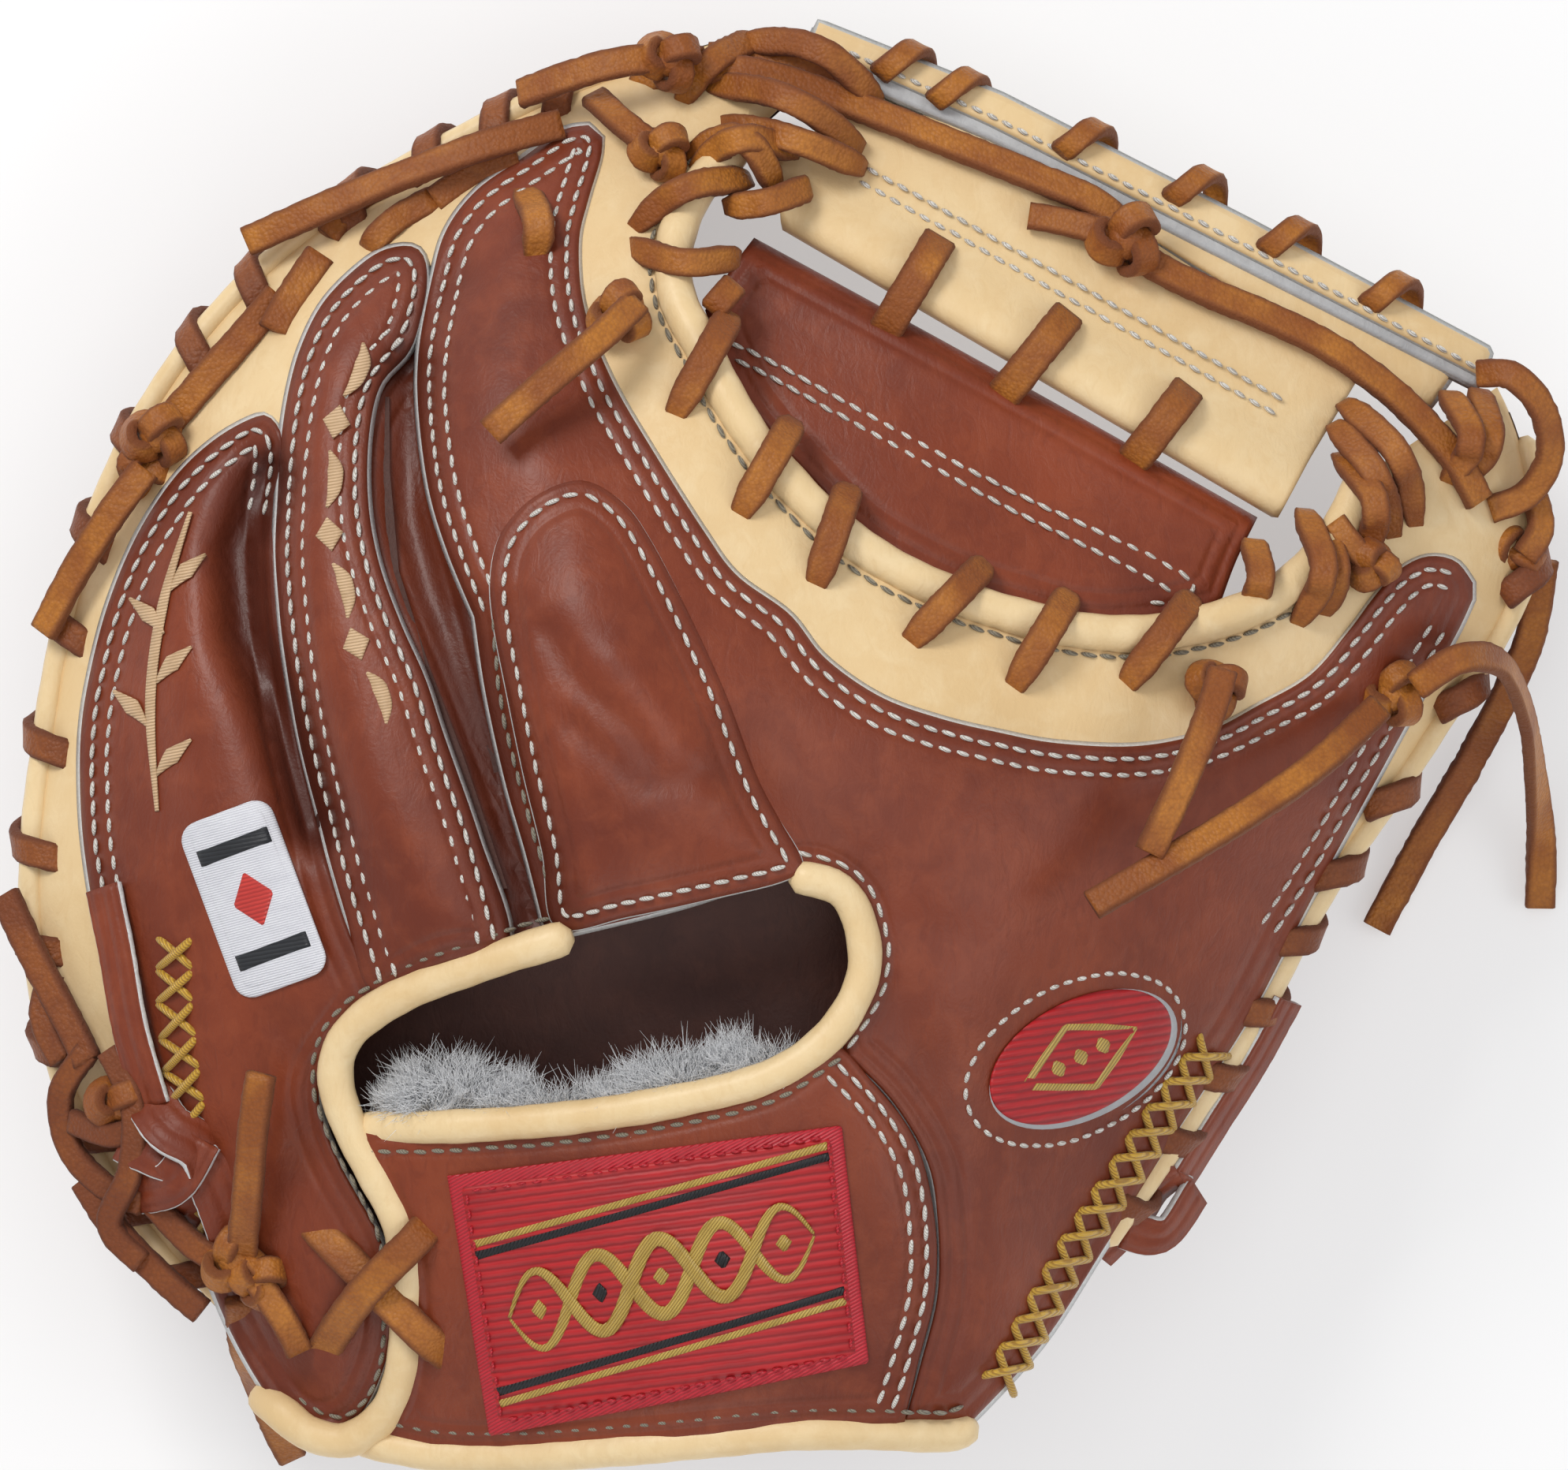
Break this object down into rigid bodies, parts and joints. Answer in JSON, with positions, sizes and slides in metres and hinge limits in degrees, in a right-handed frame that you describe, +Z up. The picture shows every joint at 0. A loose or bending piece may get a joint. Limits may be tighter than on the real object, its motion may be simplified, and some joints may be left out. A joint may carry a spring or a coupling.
{
  "type": "baseball catchers mitt",
  "caption": "Catcher's mitt of brown and cream leather with a laced web, padded palm, open-back wrist window and long lace ends; folds closed about its pocket.",
  "frame": {"origin": "centre of the mitt's footprint, on the surface it lies on palm down", "axes": "+Z up out of the back of the hand, +Y from the wrist towards the fingertips and web, +X towards the thumb"},
  "size_m": [0.2865, 0.2658, 0.1096],
  "materials": {
    "brown_leather": "smooth, semi-matte, fine grain",
    "cream_leather": "smooth, semi-matte, fine grain",
    "rawhide_lace": "waxed, fibrous edges",
    "lining_leather": "soft, matte",
    "felt_padding": "pressed felt",
    "fleece": "short curly pile",
    "badge": "embroidered, satin thread",
    "waxed_thread": "waxed thread"
  },
  "bodies": {
    "hand_side": {"palm_leather_finger_side": "brown_leather", "finger_pad": "felt_padding", "heel_pad": "felt_padding", "hand_lining": "lining_leather", "finger_dividers": "lining_leather", "wrist_fleece": "fleece", "back_little_finger": "brown_leather", "heel_side_little_finger": "brown_leather", "back_ring_finger": "brown_leather", "finger_gusset": "brown_leather", "back_index_finger": "brown_leather", "index_finger_pad": "brown_leather", "fingertip_crescent": "cream_leather", "crotch_trim_finger_side": "cream_leather", "wrist_strap": "brown_leather", "window_welt": "cream_leather", "strap_welt": "cream_leather", "wrist_welt": "cream_leather", "crotch_welt_finger_side": "cream_leather", "rim_welt_finger_side": "cream_leather", "rim_lace_finger_side": "rawhide_lace", "crotch_lace_finger_side": "rawhide_lace", "web_lower_finger_half": "brown_leather", "web_middle_finger_half": "cream_leather", "web_top_finger_half": "cream_leather", "web_spine_lace_finger_half": "rawhide_lace", "web_link_laces_finger_half": "rawhide_lace", "wrist_adjust_lace": "rawhide_lace", "little_finger_loop": "brown_leather", "side_stitch_little_finger": "waxed_thread", "wrist_badge": "badge", "finger_badge": "badge", "lace_end_index": "rawhide_lace", "lace_end_top_short": "rawhide_lace", "lace_end_top_long": "rawhide_lace", "lace_end_rim_left": "rawhide_lace", "lace_end_heel_left": "rawhide_lace", "lace_end_heel_drop": "rawhide_lace"},
    "thumb_side": {"palm_leather_thumb_side": "brown_leather", "thumb_pad": "felt_padding", "back_thumb": "brown_leather", "crotch_trim_thumb_side": "cream_leather", "thumb_crescent": "cream_leather", "crotch_welt_thumb_side": "cream_leather", "rim_welt_thumb_side": "cream_leather", "rim_lace_thumb_side": "rawhide_lace", "crotch_lace_thumb_side": "rawhide_lace", "web_lower_thumb_half": "brown_leather", "web_middle_thumb_half": "cream_leather", "web_top_thumb_half": "cream_leather", "web_spine_lace_thumb_half": "rawhide_lace", "web_link_lace_thumb_half": "rawhide_lace", "thumb_loop": "brown_leather", "side_stitch_thumb": "waxed_thread", "thumb_badge": "badge", "lace_end_crotch": "rawhide_lace", "lace_end_thumb_long": "rawhide_lace", "lace_end_thumb_drop": "rawhide_lace", "lace_end_thumb_curl": "rawhide_lace"}
  },
  "joints": [
    {"name": "pocket_close", "type": "hinge", "parent": "hand_side", "child": "thumb_side", "pos_m": [0.027, -0.1244, 0.044], "axis": [0.1194, 0.9928, 0], "range_deg": [0, 25], "stiffness_Nm_per_rad": 1.2}
  ]
}
